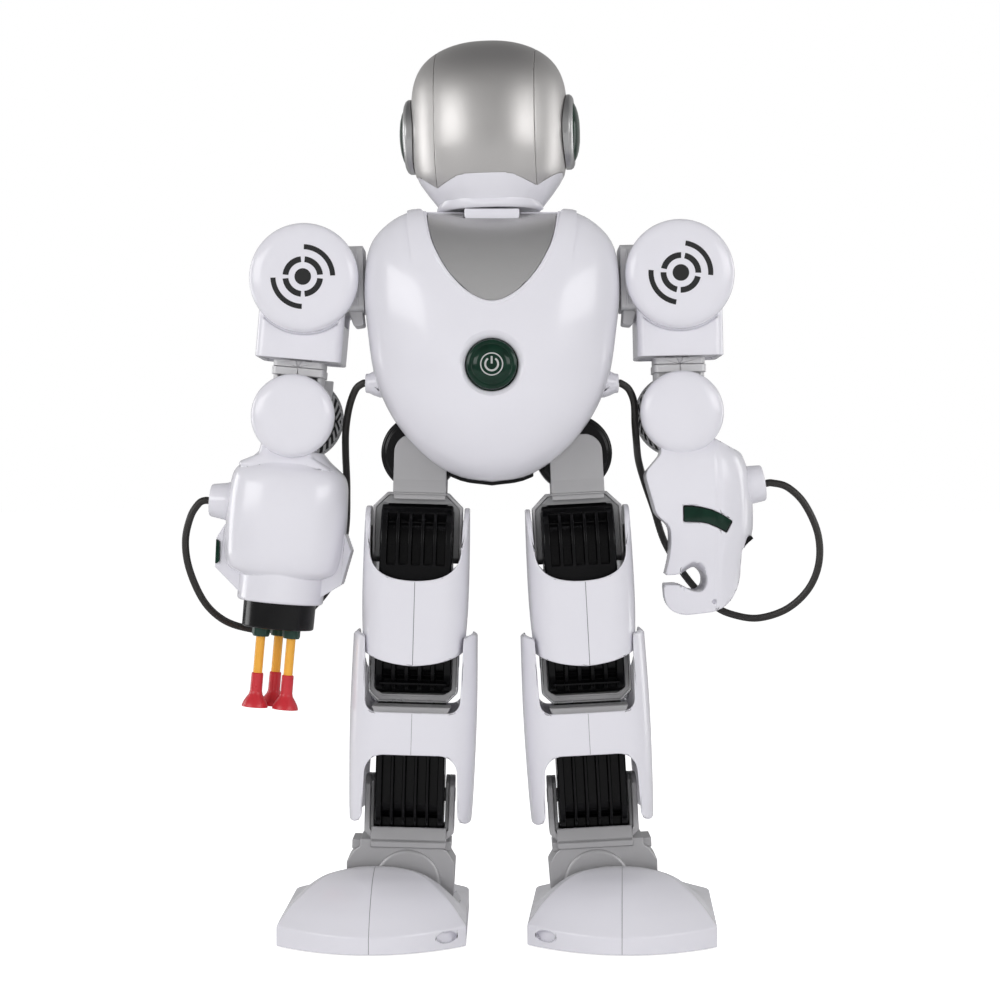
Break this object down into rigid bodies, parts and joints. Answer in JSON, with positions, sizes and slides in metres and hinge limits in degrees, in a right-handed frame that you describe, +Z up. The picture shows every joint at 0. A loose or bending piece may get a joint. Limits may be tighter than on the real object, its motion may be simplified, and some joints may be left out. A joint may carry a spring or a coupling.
{
  "type": "walking humanoid toy robot",
  "caption": "Jointed walking toy robot with a turning head, swivelling arms, a dart launcher forearm, a claw hand, ribbed leg joints and broad feet.",
  "frame": {"origin": "on the floor under the middle of the robot, at the middle of its width and depth", "axes": "+Z up, -Y the way the robot faces, +X to the right seen from the front"},
  "size_m": [0.282, 0.118, 0.3858],
  "materials": {
    "white": "glossy moulded plastic, cool white",
    "silver": "satin silver paint on plastic",
    "grey": "satin grey plastic",
    "bright": "bright silver plastic",
    "black": "glossy black plastic",
    "hose": "soft black tube",
    "green": "dark green, clear and glossy",
    "dart": "orange plastic shaft with a red cup",
    "board": "green board",
    "cells": "wrapped cells in a tray",
    "motor": "steel can",
    "speaker": "black cone"
  },
  "bodies": {
    "torso": {"chest_shell": "white", "back_shell": "white", "neckline_panel": "silver", "waist_chassis": "black", "battery_cover": "white", "battery_pack": "cells", "circuit_board": "board", "speaker": "speaker", "drive_motor": "motor", "neck_collar": "white", "left_hose": "hose", "right_hose": "hose"},
    "button": {"power_button": "green"},
    "head": {"face_visor": "silver", "head_shell": "silver", "chin_shell": "white", "left_ear": "green", "right_ear": "green"},
    "left_shoulder": {"left_shoulder_bracket": "grey"},
    "left_upper_arm": {"left_shoulder_cap": "white", "left_upper_arm": "white"},
    "left_swivel": {"left_arm_swivel": "grey"},
    "left_forearm": {"left_elbow_cap": "white", "left_elbow_disc": "black", "left_forearm_shell": "white", "left_forearm_gland": "white", "launcher_muzzle": "black", "launcher_barrels": "green"},
    "left_hip": {"left_hip_bracket": "grey"},
    "left_thigh": {"left_thigh_shell": "white", "left_thigh_block": "black", "left_knee_block": "black"},
    "left_shin": {"left_knee_strap": "bright", "left_shin_shell": "white", "left_ankle_block": "black"},
    "left_ankle": {"left_ankle_bracket": "grey"},
    "left_foot": {"left_foot_shell": "white", "left_sole_plate": "grey"},
    "right_shoulder": {"right_shoulder_bracket": "grey"},
    "right_upper_arm": {"right_shoulder_cap": "white", "right_upper_arm": "white"},
    "right_swivel": {"right_arm_swivel": "grey"},
    "right_forearm": {"right_elbow_cap": "white", "right_elbow_disc": "black", "right_forearm_shell": "white", "right_forearm_gland": "white", "claw_window": "green"},
    "right_hip": {"right_hip_bracket": "grey"},
    "right_thigh": {"right_thigh_shell": "white", "right_thigh_block": "black", "right_knee_block": "black"},
    "right_shin": {"right_knee_strap": "bright", "right_shin_shell": "white", "right_ankle_block": "black"},
    "right_ankle": {"right_ankle_bracket": "grey"},
    "right_foot": {"right_foot_shell": "white", "right_sole_plate": "grey"},
    "dart_1": {"dart_1": "dart"},
    "dart_2": {"dart_2": "dart"},
    "dart_3": {"dart_3": "dart"}
  },
  "joints": [
    {"name": "head_turn", "type": "hinge", "parent": "torso", "child": "head", "pos_m": [0, 0.009, 0.3037], "axis": [-0.0209, 0, 0.9998], "range_deg": [-60, 60]},
    {"name": "power_button_press", "type": "slide", "parent": "torso", "child": "button", "axis": [0, 1, 0], "range_m": [0, 0.0015], "stiffness_N_per_m": 400},
    {"name": "left_shoulder_swing", "type": "hinge", "parent": "torso", "child": "left_shoulder", "pos_m": [-0.048, 0.009, 0.2826], "axis": [-0.9997, 0, -0.0262], "range_deg": [-60, 120], "deforming": ["left_hose"]},
    {"name": "left_shoulder_raise", "type": "hinge", "parent": "left_shoulder", "child": "left_upper_arm", "pos_m": [-0.08099, 0.009, 0.28174], "axis": [0, 1, 0], "range_deg": [0, 100], "deforming": ["left_hose"]},
    {"name": "left_arm_twist", "type": "hinge", "parent": "left_upper_arm", "child": "left_swivel", "pos_m": [-0.0843, 0.009, 0.24388], "axis": [0.0872, 0, 0.9962], "range_deg": [-90, 90], "deforming": ["left_hose"]},
    {"name": "left_elbow_bend", "type": "hinge", "parent": "left_swivel", "child": "left_forearm", "pos_m": [-0.08617, 0.009, 0.22246], "axis": [0, 1, 0], "range_deg": [0, 75], "deforming": ["left_hose"]},
    {"name": "dart_1_pull", "type": "slide", "parent": "left_forearm", "child": "dart_1", "axis": [-0.0872, 0, -0.9962], "range_m": [0, 0.025]},
    {"name": "dart_2_pull", "type": "slide", "parent": "left_forearm", "child": "dart_2", "axis": [-0.0872, 0, -0.9962], "range_m": [0, 0.025]},
    {"name": "dart_3_pull", "type": "slide", "parent": "left_forearm", "child": "dart_3", "axis": [-0.0872, 0, -0.9962], "range_m": [0, 0.025]},
    {"name": "right_shoulder_swing", "type": "hinge", "parent": "torso", "child": "right_shoulder", "pos_m": [0.048, 0.009, 0.2826], "axis": [-0.9997, 0, -0.0262], "range_deg": [-60, 120], "deforming": ["right_hose"]},
    {"name": "right_shoulder_raise", "type": "hinge", "parent": "right_shoulder", "child": "right_upper_arm", "pos_m": [0.08099, 0.009, 0.28346], "axis": [0, -1, 0], "range_deg": [0, 100], "deforming": ["right_hose"]},
    {"name": "right_arm_twist", "type": "hinge", "parent": "right_upper_arm", "child": "right_swivel", "pos_m": [0.08178, 0.009, 0.24547], "axis": [-0.0209, 0, 0.9998], "range_deg": [-90, 90], "deforming": ["right_hose"]},
    {"name": "right_elbow_bend", "type": "hinge", "parent": "right_swivel", "child": "right_forearm", "pos_m": [0.08224, 0.009, 0.22398], "axis": [0, -1, 0], "range_deg": [0, 75], "deforming": ["right_hose"]},
    {"name": "left_hip_roll", "type": "hinge", "parent": "torso", "child": "left_hip", "pos_m": [-0.0316, 0.009, 0.2065], "axis": [0, 1, 0], "range_deg": [-4, 4]},
    {"name": "left_hip_pitch", "type": "hinge", "parent": "left_hip", "child": "left_thigh", "pos_m": [-0.03273, 0.009, 0.16602], "axis": [-0.9996, 0, 0.0279], "range_deg": [-20, 45]},
    {"name": "left_knee_bend", "type": "hinge", "parent": "left_thigh", "child": "left_shin", "pos_m": [-0.03413, 0.009, 0.11603], "axis": [0.9996, 0, -0.0279], "range_deg": [0, 60]},
    {"name": "left_ankle_pitch", "type": "hinge", "parent": "left_shin", "child": "left_ankle", "pos_m": [-0.03577, 0.009, 0.05706], "axis": [-0.9996, 0, 0.0279], "range_deg": [-20, 20]},
    {"name": "left_ankle_roll", "type": "hinge", "parent": "left_ankle", "child": "left_foot", "pos_m": [-0.03682, 0.009, 0.01957], "axis": [0, 1, 0], "range_deg": [-4, 4]},
    {"name": "right_hip_roll", "type": "hinge", "parent": "torso", "child": "right_hip", "pos_m": [0.0357, 0.009, 0.2065], "axis": [0, 1, 0], "range_deg": [-4, 4]},
    {"name": "right_hip_pitch", "type": "hinge", "parent": "right_hip", "child": "right_thigh", "pos_m": [0.03789, 0.009, 0.16606], "axis": [-0.9985, 0, -0.0541], "range_deg": [-20, 45]},
    {"name": "right_knee_bend", "type": "hinge", "parent": "right_thigh", "child": "right_shin", "pos_m": [0.04059, 0.009, 0.11613], "axis": [0.9985, 0, 0.0541], "range_deg": [0, 60]},
    {"name": "right_ankle_pitch", "type": "hinge", "parent": "right_shin", "child": "right_ankle", "pos_m": [0.04378, 0.009, 0.05722], "axis": [-0.9985, 0, -0.0541], "range_deg": [-20, 20]},
    {"name": "right_ankle_roll", "type": "hinge", "parent": "right_ankle", "child": "right_foot", "pos_m": [0.04581, 0.009, 0.01977], "axis": [0, 1, 0], "range_deg": [-4, 4]}
  ],
  "couplings": [
    {"joint": "right_hip_roll", "follows": "left_hip_roll", "ratio": 1},
    {"joint": "left_ankle_roll", "follows": "left_hip_roll", "ratio": -1},
    {"joint": "right_ankle_roll", "follows": "left_hip_roll", "ratio": -1}
  ]
}
